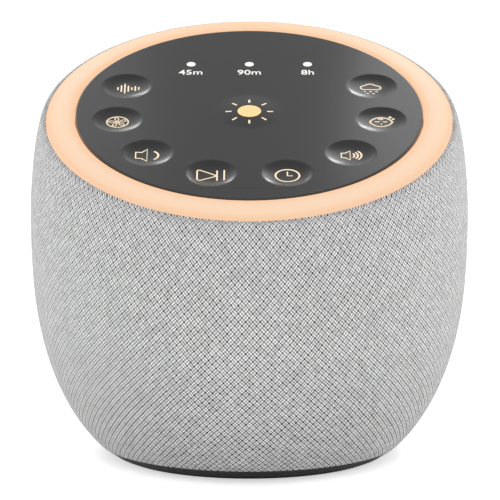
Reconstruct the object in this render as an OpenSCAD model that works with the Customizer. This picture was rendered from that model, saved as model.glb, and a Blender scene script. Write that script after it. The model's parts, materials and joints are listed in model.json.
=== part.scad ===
// White noise sound machine: a bowl-shaped speaker wrapped in fabric, with a slanted round top.
// The top is a light ring around a panel of eight dished sound keys and a night light key.
// Millimetres, +Z up. The front faces -Y. The origin is the centre of the foot's underside.
// The body is a stack of round sections; h is the height of a section above the widest one.
// The top pieces share one slanted axis: h runs along it, and v runs up the slope.

/* [Body] */
// Widest outside radius of the fabric
body_r = 54; // [52.5:0.5:56]
// Height of the widest section above the floor
equator_z = 61.3; // [59:0.1:63.5]
// Radius that the side curve would reach at the floor
root_r = 32.8; // [32.4:0.1:34]
// Height of the fabric's lower edge
hem_z = 2.8; // [2.6:0.1:3.4]
// Forward slant of the top, in degrees
top_tilt = 22.6; // [19:0.1:25]
// How far the fabric's upper edge is drawn in from the widest radius
rim_inset = 3.8; // [3.4:0.1:4.2]
// Height of the fabric's upper edge along the slanted axis
rim_h = 23.7; // [23:0.1:25.5]
// Thickness of the fabric sleeve
fabric_t = 1.2; // [0.8:0.1:1.4]
// Thickness of the perforated shell
shell_t = 2; // [1.6:0.1:2.2]
// Gap between the fabric and the shell
wrap_gap = 0.15; // [0.12:0.01:0.2]

/* [Grille] */
// Windows around the shell
grille_cols = 40; // [32:1:44]
// Rows of windows
grille_rows = 9; // [7:1:10]
// Share of each pitch that is rib
rib_share = 0.28; // [0.22:0.01:0.4]

/* [Base] */
// Radius of the rubber foot pad
foot_r = 32.8; // [31.8:0.1:33]
// Thickness of the foot pad
foot_t = 1.8; // [1.4:0.1:2]
// Height of the base's lower edge above the floor
base_z = 0.6; // [0.4:0.1:0.9]
// Thickness of the base's floor
base_t = 2.8; // [2.6:0.1:3.2]
// Radius of the circle of legs and base screws
leg_ring_r = 24; // [23.6:0.1:24.6]
// Radius of a leg
leg_r = 3; // [2.6:0.1:3.1]

/* [Speaker] */
// Height of the speaker deck's underside
deck_z = 33.8; // [32:0.2:35]
// Thickness of the deck
deck_t = 2.2; // [2:0.1:2.4]
// Room between the deck's edge and the shell, which leans there
deck_gap = 3.5; // [3.2:0.1:4]
// Width of the flange that rests on the deck, round the sound opening
seat_w = 7.5; // [7:0.1:8]
// Room between the sound diffuser's foot and the edge of the sound opening above it
diffuser_gap = 0.5; // [0.4:0.1:3]
// Height of the sound diffuser
diffuser_h = 24; // [18:0.5:26]
// Room between the speaker's flange and the wall of its box
flange_gap = 4; // [3.4:0.1:4.4]
// Thickness of the speaker's flange
flange_t = 1.2; // [1:0.1:1.5]
// Thickness of the gasket under the flange
gasket_t = 0.8; // [0.6:0.1:1]
// Room between the rubber roll and the speaker's frame
roll_gap = 0.95; // [0.85:0.05:1.2]
// Radius of the voice coil's inside
coil_r = 6.1; // [6:0.1:6.4]
// Furthest travel of the cone, each way: it sets the size of the rubber roll
cone_travel = 1.2; // [0.6:0.1:1.2]
// Radius of the magnet
magnet_r = 15; // [14:0.2:18]
// Thickness of the magnet
magnet_t = 5; // [4:0.2:5.4]
// Distance from the wall of the speaker box to the circle of pillars
box_gap = 6; // [5.8:0.1:6.6]
// Room between the magnet and the lid of the speaker box
box_room = 1.3; // [1:0.1:2]
// Wall of the speaker box
box_wall = 2; // [1.6:0.1:2.2]

/* [Slanted top] */
// Width of the light ring
ring_w = 7; // [6.9:0.1:7.4]
// Thickness of the key panel
panel_t = 2; // [1.6:0.1:2.2]
// Rise of the light ring from its outer edge to the panel
ring_rise = 1.2; // [0.8:0.1:1.6]
// Thickness of the light ring at its inner edge
ring_t = 2.75; // [2.4:0.05:3]
// Crown of the light ring's top
ring_crown = 0.3; // [0:0.05:0.5]
// Gap around the light ring
ring_gap = 0.35; // [0.25:0.05:0.45]
// Wall of the top frame
frame_wall = 1.4; // [1.2:0.1:1.5]
// Depth of the top frame's underside below the fabric's upper edge
frame_drop = 10.4; // [10.2:0.1:11]
// Thickness of the top frame's floor
frame_t = 2; // [1.6:0.1:2.2]
// Distance from the deck's edge to the circle of pillars
pillar_inset = 5.4; // [5:0.1:5.8]
// Radius of a pillar
pillar_r = 2.8; // [2.4:0.1:2.9]
// Lamps in the light ring
ring_led_count = 24; // [12:1:30]

/* [Keys] */
// Radius of a finger dish
key_r = 6.3; // [6:0.1:6.4]
// Depth of a finger dish
dish_depth = 0.8; // [0.4:0.05:1]
// Distance from the panel's edge to the circle of keys
key_inset = 9.9; // [9.6:0.1:10.2]
// Offset of the circle of keys up the slope
key_shift = 1.2; // [0:0.1:1.4]
// Angle between neighbouring keys
key_step = 32.3; // [30:0.1:33]
// Angle between the key at each end of the row and its neighbour
key_end_step = 30.5; // [29:0.1:33]
// Radius of the night light key
spot_r = 8.8; // [8:0.1:9.4]
// Crown of the night light key
spot_crown = 0.35; // [0.1:0.05:0.5]
// Gap between a key and the panel
key_gap = 0.3; // [0.25:0.01:0.35]
// Travel of a key
key_travel = 0.8; // [0.4:0.05:0.9]
// Radius of a timer light
timer_r = 1.1; // [0.9:0.05:1.4]
// Distance between timer lights
timer_pitch = 14.6; // [13:0.1:15]
// Distance from the panel's upper edge to the timer lights
timer_inset = 18.2; // [17.8:0.1:19]

/* [Electronics] */
// Height of a key switch, plunger included
switch_h = 3; // [2.8:0.1:3.1]
// Thickness of the circuit boards
board_t = 1.6; // [1.2:0.1:1.7]
// How far the main board's edge lies inside the panel's
board_inset = 3.5; // [3.2:0.1:4]
// Diameter of the internal leads
lead_d = 2; // [1.4:0.1:2.4]

/* [Power inlet] */
// Height of the inlet's centre
inlet_z = 13.5; // [13.2:0.1:14.5]
// Width of the inlet bezel
inlet_w = 16; // [15:0.2:17]
// Height of the inlet bezel
inlet_h = 9.6; // [9:0.1:10]
// Width of the plug recess
recess_w = 12.4; // [12:0.1:13]
// Height of the plug recess
recess_h = 6.8; // [6.5:0.1:7.2]
// Distance from the axis to the floor of the plug recess
recess_y = 40; // [39:0.1:40.6]
// Width of the socket's shell
socket_w = 9; // [8.8:0.1:9.2]
// Height of the socket's shell
socket_h = 3.3; // [3.1:0.1:3.4]

/* [Hidden] */
$fn = 72;

// Shape of the side curve: how round and how full it is below and above the widest section
low_round = 1.472;
low_drop = 0.724;
low_spacing = 1.38;
high_drop = 1.333;
// Heights between which the sections turn from level to slanted
slant_from = 45;
slant_to = 16;
// Share of the side's length that lies below the widest section
low_share = 0.72;
// Shares of the side's length where the windows start and end, and where the shell ends
window_from = 0.05;
window_to = 0.86;
shell_end = 0.92;
sleeve_cols = 60;

fit = 0.1;
screw_fit = 0.05;
wall_total = fabric_t + wrap_gap + shell_t;
rim_r = body_r - rim_inset;
outside = body_r + 6;
hem_a = asin(pow((equator_z - hem_z) / equator_z, 1 / low_drop));
pad_top = foot_t + screw_fit;
floor_z = pad_top + base_t;
deck_top = deck_z + deck_t;
deck_r = face_r(deck_z - equator_z) - wall_total - deck_gap;
pillar_ring_r = deck_r - pillar_inset;
box_r = pillar_ring_r - box_gap;
flange_z = deck_top + gasket_t;

// Speaker, from the flange inwards, and its heights above the flange
flange_r = box_r - box_wall - flange_gap;
throat_r = min(flange_r - seat_w, leg_ring_r - leg_r - 0.5);
diffuser_r = throat_r - diffuser_gap;
basket_r = flange_r - 5.4;
basket_rise = 9;
plate_t = 2;
cone_edge_z = flange_z + flange_t + 0.4;
cone_neck_z = cone_edge_z + 6;
basket_top = flange_z + flange_t + basket_rise;
surround_r = cone_travel + 0.6;
cone_r = basket_r - 2 * surround_r - roll_gap - 0.05;
coil_wall = 0.8;
coil_gap = 0.5;
basket_neck_r = basket_r - basket_rise;
basket_wall = 0.9;
basket_back_t = 1.2;
basket_hole_r = coil_r + coil_wall + 2.1;
yoke_top = basket_top + basket_back_t + plate_t + magnet_t + plate_t;
box_h = yoke_top + box_room + box_wall - deck_top;
box_top = deck_top + box_h;
speaker_screw_r = flange_r - 2.2;
box_screw_r = box_r + 2.6;

// Slanted stack
ring_r = rim_r - ring_gap;
ring_in_r = ring_r - ring_w;
panel_r = ring_in_r - ring_gap;
panel_top = rim_h + ring_rise;
panel_under = panel_top - panel_t;
ring_under = panel_top - ring_t + 0.05;
frame_r = rim_r - 3.4;
frame_h = rim_h - frame_drop;
frame_floor = frame_h + frame_t;
well_in_r = ring_in_r - 0.4;
well_out_r = frame_r - frame_wall;
led_r = (well_in_r + well_out_r) / 2;
led_w = 1.6;
led_l = 3;
led_h = 1.5;
board_under = frame_floor + 0.4;
board_top = board_under + board_t;
switch_w = 6;
plunger_r = 1.7;
plunger_h = 1;
switch_top = board_top + switch_h;
timer_v = panel_r - timer_inset;
board_r = panel_r - board_inset;
key_under = switch_top + key_travel + fit;
key_ring_r = panel_r - key_inset;
key_stem_r = 2;
key_lip = 0.6;
key_lip_top = panel_under - key_gap;
key_lip_t = 0.8;
pillar_angles = [38, 142, 225, 315];
pillar_shift = 2.5;
boss_angles = [48, 132, 206, 334];
boss_ring_r = key_ring_r - 9.6;
boss_r = 2.6;
lead_hole = [9, 40.5];
box_hole_y = 20;
plug_h = 2;
plug_under = board_under - plug_h;
power_plug_v = board_r - 11;
speaker_plug_v = 18;
power_plug_x = 9;
inlet_shelf_t = 1.8;
inlet_shelf_y = 27;
bezel_y = 34;
socket_l = 7;

// Routes of the two internal leads, from end to end
power_route = [[6, 29, 12.5], [6.4, 30.5, 15.6], [7.4, 34, 20], [8.4, 38, 25.5], [9, 40.5, 31],
    [9, 40.6, 38], [9, 41, 48], [9, 40.6, 58], [9, 38.6, 67], [9, 35.2, 74.4], [9, 30.8, 79.6],
    [9, 26.4, 82.8], on_top(power_plug_x, power_plug_v, plug_under - 2),
    on_top(power_plug_x, power_plug_v, plug_under - fit)];
speaker_route = [[0, 20.6, 42], [0, 23.4, 43.6], [0, 26, 47.4], [0, 25.6, 52.4], [0, 22.2, 55.8],
    [0, 20.2, 58.6], [0, 20, 62], [0, 19.6, 68], [0, 17.8, 74.4],
    on_top(0, speaker_plug_v, plug_under - 3), on_top(0, speaker_plug_v, plug_under - fit)];

function ease(x) = let(c = max(0, min(1, x))) c * c * (3 - 2 * c);
function lerp(a, b, t) = a + (b - a) * t;

// Slant of the section at height h, in degrees
function slant_at(h) = top_tilt * ease((h + slant_from) / (slant_from + slant_to));

// Side curve as [radius, h]: s runs from -1 at the hem through 0 at the widest to 1 at the rim
function side_low(a) = [root_r + (body_r - root_r) * pow(cos(a), low_round),
    -equator_z * pow(sin(a), low_drop)];
function side_high(a) = [rim_r + (body_r - rim_r) * cos(a), rim_h * pow(sin(a), high_drop)];
function side(s) = s < 0 ? side_low(hem_a * pow(-s, low_spacing)) : side_high(90 * s);
function side_step(s) = side(min(1, s + 0.004)) - side(max(-1, s - 0.004));
function side_out(s) = let(d = side_step(s)) [d[1], -d[0]] / norm(d);
function side_in(s, depth) = side(s) - depth * side_out(s);

// The same curve by share of its length, from 0 at the hem to 1 at the rim
function share_to_s(w) = w < low_share ? w / low_share - 1 : (w - low_share) / (1 - low_share);

// Radius of the fabric's face at height h
function face_r(h) = h < 0
    ? root_r + (body_r - root_r) * pow(cos(asin(pow(-h / equator_z, 1 / low_drop))), low_round)
    : rim_r + (body_r - rim_r) * cos(asin(pow(h / rim_h, 1 / high_drop)));

// Centre of the section at height h, as [y, z]: the front stays upright up to slant_to,
// and from there the sections are parallel and their centres lie on a straight line
function low_centre(h) = [face_r(h) * cos(slant_at(h)) - (h < 0 ? face_r(h) : body_r), equator_z + h];
function centre(h) = let(lean = (face_r(slant_to) - face_r(slant_to - 1)) * cos(top_tilt))
    low_centre(min(h, slant_to))
    + max(0, h - slant_to) * [lean, (1 + lean * sin(top_tilt)) / cos(top_tilt)];

// Point of a section: radius and height p, at angle a round the body
function place(p, a) = let(t = slant_at(p[1]), c = centre(p[1]))
    [p[0] * cos(a), c[0] + p[0] * sin(a) * cos(t), c[1] + p[0] * sin(a) * sin(t)];

// Point on the slanted top: x, distance v up the slope, height h
function on_top(x, v, h) = let(c = centre(rim_h))
    [x, c[0] + v * cos(top_tilt) - (h - rim_h) * sin(top_tilt),
     c[1] + v * sin(top_tilt) + (h - rim_h) * cos(top_tilt)];

// Centre of key i, of eight: the steps at the two ends of the row are a little shorter
function key_at(i) = let(end = i < 1 ? -1 : i > 6 ? 1 : 0,
    a = 270 + (i - 3.5) * key_step + end * (key_end_step - key_step))
    [key_ring_r * cos(a), key_ring_r * sin(a) + key_shift];

// Row and column edges of the shell's lattice: ribs and windows take turns
window_pitch = (window_to - window_from) / grille_rows;
row_edges = concat([0], [for (k = [0:grille_rows - 1], e = [rib_share, 1])
    window_from + window_pitch * (k + e)], [lerp(window_to, shell_end, 0.5), shell_end]);
col_edges = [for (j = [0:grille_cols - 1], e = [0, rib_share]) 360 / grille_cols * (j + e)];
last_row = len(row_edges) - 1;
function row_s(k) = share_to_s(row_edges[k]);
// Rows of the fabric that roll over the rim, past the end of the shell
roll_s = [0.82, 0.89, 0.95, 1];

module slanted(h = 0) {
    translate(on_top(0, 0, h)) rotate([top_tilt, 0, 0]) children();
}

module around(count, radius, first = 0) {
    for (i = [0:count - 1]) rotate([0, 0, first + i * 360 / count]) translate([radius, 0, 0]) children();
}

module at_pillars() {
    for (a = pillar_angles) translate([pillar_ring_r * cos(a), pillar_ring_r * sin(a) - pillar_shift, 0])
        children();
}

module at_bosses() {
    for (a = boss_angles) rotate([0, 0, a]) translate([boss_ring_r, 0, 0]) children();
}

module ring(r_out, r_in, t) {
    difference() {
        cylinder(r = r_out, h = t);
        translate([0, 0, -1]) cylinder(r = r_in, h = t + 2);
    }
}

// Flat outline with rounded corners
module rounded(w, h, r) {
    square([w - 2 * r, h], center = true);
    square([w, h - 2 * r], center = true);
    for (x = [-1, 1], y = [-1, 1]) translate([x * (w / 2 - r), y * (h / 2 - r)]) circle(r, $fn = 32);
}

// Pan head screw that points up, with the top of its head at z = 0 and a cross recess below
module screw(head_r, head_t, shank_r, length) {
    difference() {
        union() {
            translate([0, 0, -head_t]) cylinder(r = head_r, h = head_t, $fn = 32);
            translate([0, 0, -0.01]) cylinder(r = shank_r, h = length, $fn = 24);
        }
        for (a = [0, 90]) rotate([0, 0, a])
            translate([-head_r * 0.6, -head_r * 0.13, -head_t - 1])
                cube([head_r * 1.2, head_r * 0.26, 1 + head_t * 0.5]);
    }
}

// Wall of the fabric: its face rolls over the rim, and its back ends under the rim
module sleeve(thickness) {
    loop = concat([for (k = [0:last_row]) side(row_s(k))], [for (s = roll_s) side(s)],
        [side(1) - [0, thickness]], [for (k = [last_row:-1:0]) side_in(row_s(k), thickness)]);
    count = len(loop);
    points = [for (j = [0:sleeve_cols - 1], p = loop) place(p, 360 / sleeve_cols * j)];
    faces = [for (j = [0:sleeve_cols - 1], k = [0:count - 1], half = [0, 1])
        let(j2 = (j + 1) % sleeve_cols, k2 = (k + 1) % count,
            a = j * count + k, b = j2 * count + k, c = j2 * count + k2, d = j * count + k2)
        half == 0 ? [a, c, b] : [a, d, c]];
    polyhedron(points, faces, convexity = 8);
}

// Lattice wall between two depths, with a window where both a row and a column are open
module lattice(outer, inner) {
    n = len(col_edges);
    size = (last_row + 1) * n;
    points = concat(
        [for (k = [0:last_row], a = col_edges) place(side_in(row_s(k), outer), a)],
        [for (k = [0:last_row], a = col_edges) place(side_in(row_s(k), inner), a)]);
    function at(k, j) = k * n + j % n;
    function open(k, j) = k % 2 == 1 && k < 2 * grille_rows && j % 2 == 1;
    function quad(a, b, c, d) = [[a, c, b], [a, d, c]];
    walls = [for (k = [0:last_row - 1], j = [0:n - 1])
        let(a = at(k, j), b = at(k, j + 1), c = at(k + 1, j + 1), d = at(k + 1, j))
        each open(k, j)
            ? concat(quad(a, b, b + size, a + size), quad(b, c, c + size, b + size),
                quad(c, d, d + size, c + size), quad(d, a, a + size, d + size))
            : concat(quad(a, b, c, d), quad(d + size, c + size, b + size, a + size))];
    ends = [for (j = [0:n - 1])
        each concat(quad(at(0, j + 1), at(0, j), at(0, j) + size, at(0, j + 1) + size),
            quad(at(last_row, j), at(last_row, j + 1), at(last_row, j + 1) + size,
                at(last_row, j) + size))];
    polyhedron(points, concat(walls, ends), convexity = 8);
}

// Round lead swept along a route that stays close to an upright plane
module lead(route) {
    sides = 8;
    last = len(route) - 1;
    function along(i) = let(d = route[min(last, i + 1)] - route[max(0, i - 1)]) d / norm(d);
    function across(i) = let(c = cross([1, 0, 0], along(i))) c / norm(c);
    points = [for (i = [0:last], k = [0:sides - 1])
        let(a = 360 / sides * k, u = across(i), w = cross(along(i), u))
        route[i] + lead_d / 2 * (cos(a) * u + sin(a) * w)];
    walls = [for (i = [0:last - 1], k = [0:sides - 1])
        let(k2 = (k + 1) % sides, a = i * sides + k, b = i * sides + k2)
        each [[a, b + sides, b], [a, a + sides, b + sides]]];
    caps = [[for (k = [0:sides - 1]) k], [for (k = [sides - 1:-1:0]) last * sides + k]];
    polyhedron(points, concat(walls, caps), convexity = 4);
}

// Round rubber pad under the base: it hides the base screws
module foot_pad() {
    bevel = 0.3;
    color([0.16, 0.16, 0.16]) rotate_extrude()
        polygon([[0, 0], [foot_r - bevel, 0], [foot_r, bevel], [foot_r, foot_t], [0, foot_t]]);
}

// Black tray: its skirt flares from the foot to the seat that the shell and fabric stand on
module base_cover() {
    skirt = 1.2;
    lip_w = 1.8;
    up = side_step(-1) / norm(side_step(-1));
    hem = side(-1) - fit * up + [0, equator_z];
    seat = side_in(-1, wall_total) - fit * up + [0, equator_z];
    locator_in = diffuser_r + fit;
    sink = 1.3;
    color([0.13, 0.13, 0.13]) difference() {
        union() {
            rotate_extrude()
                polygon([[0, pad_top], [foot_r + screw_fit, pad_top],
                    [foot_r + screw_fit, base_z], [foot_r + skirt, base_z], hem, seat,
                    [seat[0] - lip_w, seat[1]], [seat[0] - lip_w, floor_z], [0, floor_z]]);
            translate([0, 0, floor_z]) ring(locator_in + 0.6, locator_in, 1);
        }
        around(4, leg_ring_r, 45) {
            translate([0, 0, pad_top - 1]) cylinder(r = 1.5 + screw_fit, h = base_t + 3, $fn = 32);
            translate([0, 0, pad_top - 1]) cylinder(r = 2.8, h = 1 + sink, $fn = 32);
        }
    }
}

module base_screws() {
    color("silver") around(4, leg_ring_r, 45)
        translate([0, 0, pad_top + 1.3]) screw(2.6, 1.2, 1.5, base_t + 6);
}

// Trumpet-shaped cone that turns the speaker's sound outwards all round
module sound_diffuser() {
    tip_r = 2;
    rise = 1.2;
    flare = 2.2;
    steps = 14;
    color([0.2, 0.2, 0.21]) rotate_extrude()
        polygon(concat([[0, floor_z], [diffuser_r, floor_z]],
            [for (i = [0:steps]) let(t = i / steps)
                [tip_r + (diffuser_r - tip_r) * pow(1 - t, flare), floor_z + rise + (diffuser_h - rise) * t]],
            [[tip_r * 0.6, floor_z + diffuser_h + tip_r * 0.5], [0, floor_z + diffuser_h + tip_r * 0.6]]));
}

module speaker_deck() {
    color([0.22, 0.22, 0.23]) difference() {
        union() {
            rotate_extrude() polygon([[throat_r, deck_top], [throat_r + deck_t * 0.8, deck_z],
                [deck_r - 0.6, deck_z], [deck_r, deck_z + 0.6], [deck_r, deck_top]]);
            around(4, leg_ring_r, 45) translate([0, 0, floor_z])
                cylinder(r = leg_r, h = deck_z + 0.5 - floor_z, $fn = 32);
        }
        around(4, leg_ring_r, 45) translate([0, 0, floor_z - 1])
            cylinder(r = 1.5 + screw_fit, h = 9, $fn = 32);
        at_pillars() translate([0, 0, deck_z - 1])
            cylinder(r = 1.3 + screw_fit, h = deck_t + 2, $fn = 32);
        around(4, speaker_screw_r) translate([0, 0, deck_z - 1])
            cylinder(r = 1.1 + screw_fit, h = deck_t + 2, $fn = 32);
        around(4, box_screw_r) translate([0, 0, deck_z - 1])
            cylinder(r = 1.1 + screw_fit, h = deck_t + 2, $fn = 32);
        translate([lead_hole[0], lead_hole[1], deck_z - 1])
            cylinder(r = lead_d / 2 + 1.2, h = deck_t + 2, $fn = 32);
    }
}

module inlet_outline(clear = 0) {
    translate([0, outside, inlet_z]) rotate([90, 0, 0]) linear_extrude(outside - bezel_y)
        rounded(inlet_w + 2 * clear, inlet_h + 2 * clear, 2.4 + clear);
}

// Perforated shell that carries the fabric: a lofted lattice of windows and ribs
module grille_shell() {
    color([0.3, 0.3, 0.31]) difference() {
        lattice(fabric_t + wrap_gap, wall_total);
        inlet_outline(0.15);
    }
}

module fabric_sleeve() {
    color([0.72, 0.72, 0.71]) difference() {
        sleeve(fabric_t);
        inlet_outline(0.15);
    }
}

module speaker_gasket() {
    color([0.1, 0.1, 0.1]) translate([0, 0, deck_top]) difference() {
        ring(flange_r, basket_r - 1.5, gasket_t);
        around(4, speaker_screw_r) translate([0, 0, -1]) cylinder(r = 1.4, h = gasket_t + 2, $fn = 32);
    }
}

module speaker_frame() {
    top = flange_z + flange_t;
    mouth_r = basket_r - 0.8;
    color([0.25, 0.25, 0.26]) difference() {
        rotate_extrude() polygon([[mouth_r, flange_z], [flange_r, flange_z], [flange_r, top],
            [basket_r + basket_wall, top], [basket_neck_r + basket_wall, basket_top],
            [basket_neck_r + basket_wall, basket_top + basket_back_t],
            [basket_hole_r, basket_top + basket_back_t], [basket_hole_r, basket_top],
            [basket_neck_r, basket_top], [basket_r, top], [mouth_r, top]]);
        around(4, speaker_screw_r) translate([0, 0, flange_z - 1])
            cylinder(r = 1.1 + screw_fit, h = flange_t + 2, $fn = 32);
        around(4, basket_r, 45) translate([-10, -6, top + 1.6]) cube([14, 12, basket_rise - 3.2]);
    }
}

module speaker_screws() {
    color("silver") around(4, speaker_screw_r) translate([0, 0, flange_z + flange_t])
        rotate([180, 0, 0]) screw(1.8, 1.1, 1.1, flange_t + gasket_t + deck_t - 0.4);
}

module speaker_magnet() {
    color([0.2, 0.2, 0.22]) translate([0, 0, basket_top + basket_back_t + plate_t])
        ring(magnet_r, coil_r + coil_wall + 2, magnet_t);
}

// Front plate, and a back plate with the pole that stands inside the voice coil
module magnet_yoke() {
    low = basket_top + basket_back_t;
    color([0.75, 0.75, 0.77]) {
        translate([0, 0, low]) ring(magnet_r - 1.5, coil_r + coil_wall + coil_gap, plate_t);
        translate([0, 0, low + plate_t + magnet_t]) cylinder(r = magnet_r - 1.5, h = plate_t);
        translate([0, 0, low]) cylinder(r = coil_r - coil_gap, h = plate_t + magnet_t + 0.5, $fn = 48);
    }
}

module speaker_cone() {
    neck_r = coil_r + coil_wall;
    color([0.12, 0.12, 0.13]) rotate_extrude()
        polygon([[cone_r, cone_edge_z - 0.2], [cone_r, cone_edge_z + 0.4],
            [neck_r, cone_neck_z + 0.7], [neck_r, cone_neck_z]]);
}

module voice_coil() {
    color([0.72, 0.45, 0.2]) translate([0, 0, cone_neck_z])
        ring(coil_r + coil_wall, coil_r, basket_top + basket_back_t + plate_t + 1 - cone_neck_z);
}

module dust_cap() {
    r = coil_r + coil_wall;
    sag = 1.4;
    wall = 0.4;
    steps = 8;
    function under(i) = cone_neck_z - wall - sag * (1 - pow(i / steps, 2));
    color([0.1, 0.1, 0.11]) rotate_extrude() polygon(concat(
        [for (i = [0:steps]) [r * i / steps, under(i)]],
        [for (i = [steps:-1:0]) [r * i / steps, under(i) + wall]]));
}

// Rubber half roll between the cone's edge and the flange
module speaker_surround() {
    mid = cone_r + 0.05 + surround_r;
    edge_r = basket_r - 0.15;
    wall = 0.35;
    steps = 12;
    z = flange_z + flange_t + 0.35;
    color([0.08, 0.08, 0.08]) rotate_extrude()
        polygon(concat(
            [for (i = [0:steps]) let(a = 180 + 180 * i / steps)
                [mid + surround_r * cos(a), z + surround_r * sin(a)]],
            [[edge_r, z - 0.3], [edge_r - 0.3 - wall, z + wall], [mid + surround_r - wall, z + wall]],
            [for (i = [steps:-1:0]) let(a = 180 + 180 * i / steps, r = surround_r - wall)
                [mid + r * cos(a), z + r * sin(a)]]));
}

module speaker_spider() {
    in_r = coil_r + coil_wall + 0.05;
    z = cone_neck_z + 1.5;
    out_r = basket_r - (basket_r - basket_neck_r) * (z + 0.6 - flange_z - flange_t) / basket_rise - 0.1;
    waves = 3;
    steps = 24;
    thick = 0.3;
    function wave(i, up) = [lerp(in_r, out_r, i / steps), z + up - 0.4 * sin(360 * waves * i / steps)];
    color([0.75, 0.6, 0.35]) rotate_extrude()
        polygon(concat([for (i = [0:steps]) wave(i, 0)], [for (i = [steps:-1:0]) wave(i, thick)]));
}

// Closed cup over the speaker, screwed to the deck by four lugs
module speaker_box() {
    corner = 4;
    lug_t = 2;
    color([0.2, 0.2, 0.21]) difference() {
        union() {
            translate([0, 0, deck_top]) rotate_extrude() polygon(concat([[0, 0], [box_r, 0]],
                [for (a = [0:15:90]) [box_r - corner + corner * cos(a), box_h - corner + corner * sin(a)]],
                [[0, box_h]]));
            around(4, box_screw_r) translate([0, 0, deck_top]) cylinder(r = 3, h = lug_t, $fn = 32);
        }
        translate([0, 0, deck_top - 1]) cylinder(r = box_r - box_wall, h = box_h - box_wall + 1 - corner / 2);
        translate([0, 0, deck_top + box_h - box_wall - corner / 2 - 0.01])
            cylinder(r1 = box_r - box_wall, r2 = box_r - box_wall - corner / 2, h = corner / 2);
        around(4, box_screw_r) translate([0, 0, deck_top - 1])
            cylinder(r = 1.1 + screw_fit, h = lug_t + 2, $fn = 32);
        translate([0, box_hole_y, box_top - 5]) cylinder(r = lead_d / 2 + 0.3, h = 8, $fn = 32);
    }
}

module box_screws() {
    color("silver") around(4, box_screw_r) translate([0, 0, deck_top + 2])
        rotate([180, 0, 0]) screw(2, 1.2, 1.1, 2 + deck_t - 0.3);
}

// White frame under the top: a lamp well, a ledge for the main board, and four pillars
module top_frame() {
    ledge_r = board_r - 3.5;
    ledge_h = board_under - fit;
    rest_w = 1.5;
    lip_out = rim_r - 1;
    lip_under = side_in(share_to_s(shell_end), fabric_t + wrap_gap)[1] + 0.2;
    color([0.9, 0.9, 0.88]) {
        slanted() rotate_extrude()
            polygon([[ledge_r, frame_h], [frame_r, frame_h], [frame_r, lip_under], [lip_out, lip_under],
                [lip_out, ring_under - fit], [well_out_r, ring_under - fit],
                [well_out_r, frame_floor], [well_in_r, frame_floor], [well_in_r, panel_under - screw_fit],
                [well_in_r - rest_w, panel_under - screw_fit], [well_in_r - rest_w, ledge_h],
                [ledge_r, ledge_h]]);
        difference() {
            at_pillars() difference() {
                translate([0, 0, deck_top]) cylinder(r = pillar_r, h = equator_z + 20, $fn = 32);
                translate([0, 0, deck_top - 1]) cylinder(r = 1.3 + screw_fit, h = 9, $fn = 24);
            }
            slanted(frame_h + frame_t / 2) cylinder(r = 120, h = 120);
        }
    }
}

module frame_screws() {
    color("silver") at_pillars()
        translate([0, 0, deck_z]) screw(2.4, 1.4, 1.3, deck_t + 7);
}

module led_board() {
    color([0.9, 0.92, 0.9]) slanted(frame_floor)
        ring(well_out_r - fit * 2, well_in_r + fit * 2, board_t * 0.75);
}

module ring_leds() {
    color([1, 0.95, 0.8]) slanted(frame_floor + board_t * 0.75)
        around(ring_led_count, led_r) translate([-led_w / 2, -led_l / 2, 0]) cube([led_w, led_l, led_h]);
}

// White trough that spreads the light of the lamps under the ring
module reflector_ring() {
    wall = 0.5;
    low = frame_floor + board_t * 0.75 + fit;
    out_r = well_out_r - fit * 2;
    in_r = well_in_r + fit * 2;
    color([0.96, 0.96, 0.94]) slanted() difference() {
        rotate_extrude() polygon([[in_r, low], [out_r, low], [out_r, ring_under - fit],
            [out_r - wall, ring_under - fit], [out_r - wall * 1.5, low + wall],
            [in_r + wall * 1.5, low + wall], [in_r + wall, ring_under - fit], [in_r, ring_under - fit]]);
        translate([0, 0, low - 1]) around(ring_led_count, led_r)
            translate([-led_w / 2 - fit, -led_l / 2 - fit, 0])
                cube([led_w + 2 * fit, led_l + 2 * fit, wall + 2]);
    }
}

// Translucent ring: crowned top that falls from the panel to the fabric
module light_ring() {
    edge = 0.4;
    steps = 10;
    function top(u) = lerp(panel_top + 0.05, rim_h - 0.05, u) + ring_crown * 4 * u * (1 - u);
    color([1, 0.8, 0.62]) slanted() rotate_extrude()
        polygon(concat([[ring_in_r, ring_under], [ring_in_r, top(0) - edge]],
            [for (i = [0:steps]) let(u = lerp(0.05, 0.95, i / steps)) [lerp(ring_in_r, ring_r, u), top(u)]],
            [[ring_r, top(1) - edge], [ring_r, ring_under + edge], [ring_r - edge, ring_under]]));
}

module key_panel() {
    edge = 0.3;
    color([0.33, 0.33, 0.325]) slanted() difference() {
        union() {
            rotate_extrude() polygon([[0, panel_under], [panel_r, panel_under], [panel_r, panel_top - edge],
                [panel_r - edge, panel_top], [0, panel_top]]);
            at_bosses() translate([0, 0, board_top])
                cylinder(r = boss_r, h = panel_under - board_top + 0.5, $fn = 32);
        }
        for (i = [0:7]) translate([key_at(i)[0], key_at(i)[1], panel_under - 1])
            cylinder(r = key_r + key_gap, h = panel_t + 2, $fn = 64);
        translate([0, 0, panel_under - 1]) cylinder(r = spot_r + key_gap, h = panel_t + 2);
        for (i = [-1:1]) translate([i * timer_pitch, timer_v, panel_under - 1])
            cylinder(r = timer_r + screw_fit, h = panel_t + 2, $fn = 32);
        at_bosses() translate([0, 0, board_top - 1])
            cylinder(r = 1.1 + screw_fit, h = 6, $fn = 32);
    }
}

module timer_lights() {
    color([0.98, 0.98, 0.96]) slanted()
        for (i = [-1:1]) translate([i * timer_pitch, timer_v, board_top + 0.9])
            cylinder(r = timer_r, h = panel_top - board_top - 0.85, $fn = 32);
}

module main_board() {
    color([0.1, 0.35, 0.2]) slanted(board_under) difference() {
        cylinder(r = board_r, h = board_t);
        at_bosses() translate([0, 0, -1]) cylinder(r = 1.3, h = board_t + 2, $fn = 32);
    }
}

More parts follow.
